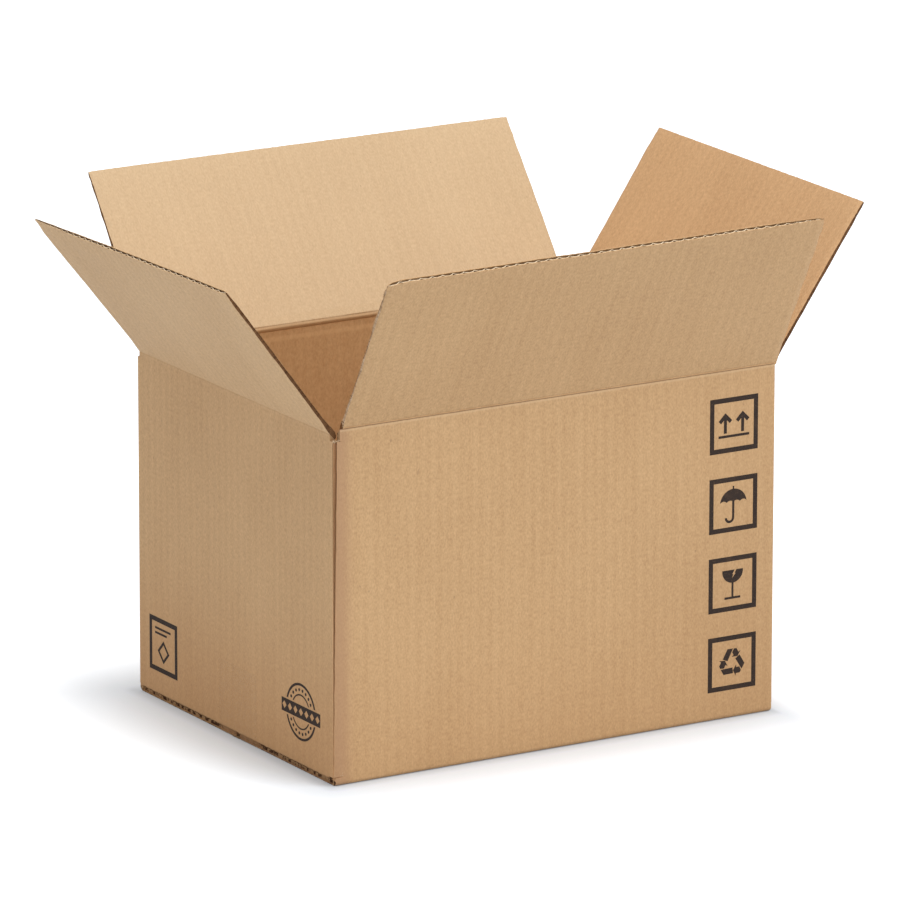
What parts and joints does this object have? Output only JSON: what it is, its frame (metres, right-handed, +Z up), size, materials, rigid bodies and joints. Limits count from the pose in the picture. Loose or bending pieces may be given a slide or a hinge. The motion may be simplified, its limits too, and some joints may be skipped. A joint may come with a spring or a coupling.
{
  "type": "open cardboard box",
  "caption": "Open corrugated shipping carton with hinged top flaps, a taped bottom and plain handling marks.",
  "frame": {"origin": "centre of the four walls at the underside, on the face that the box rests on", "axes": "+Z up, +X along the long side, -Y towards the printed long side"},
  "size_m": [0.4909, 0.3955, 0.3522],
  "materials": {
    "kraft_board": "matt brown kraft liner over C-flute",
    "clear_tape": "clear packing tape",
    "ink": "dark brown-black printing ink on kraft"
  },
  "bodies": {
    "carton": {"carton_body": "kraft_board", "bottom_tape": "clear_tape", "front_marks": "ink", "end_marks": "ink"},
    "front_flap": {"front_flap": "kraft_board"},
    "back_flap": {"back_flap": "kraft_board"},
    "left_flap": {"left_flap": "kraft_board"},
    "right_flap": {"right_flap": "kraft_board"}
  },
  "joints": [
    {"name": "front_flap_hinge", "type": "hinge", "parent": "carton", "child": "front_flap", "pos_m": [0, -0.13, 0.24], "axis": [-1, 0, 0], "range_deg": [-147.2, 118.8]},
    {"name": "back_flap_hinge", "type": "hinge", "parent": "carton", "child": "back_flap", "pos_m": [0, 0.13, 0.24], "axis": [1, 0, 0], "range_deg": [-139.6, 126.4]},
    {"name": "left_flap_hinge", "type": "hinge", "parent": "carton", "child": "left_flap", "pos_m": [-0.17, 0, 0.23605], "axis": [0, 1, 0], "range_deg": [-137.6, 128.4]},
    {"name": "right_flap_hinge", "type": "hinge", "parent": "carton", "child": "right_flap", "pos_m": [0.17, 0, 0.23605], "axis": [0, -1, 0], "range_deg": [-140.8, 125.2]}
  ]
}
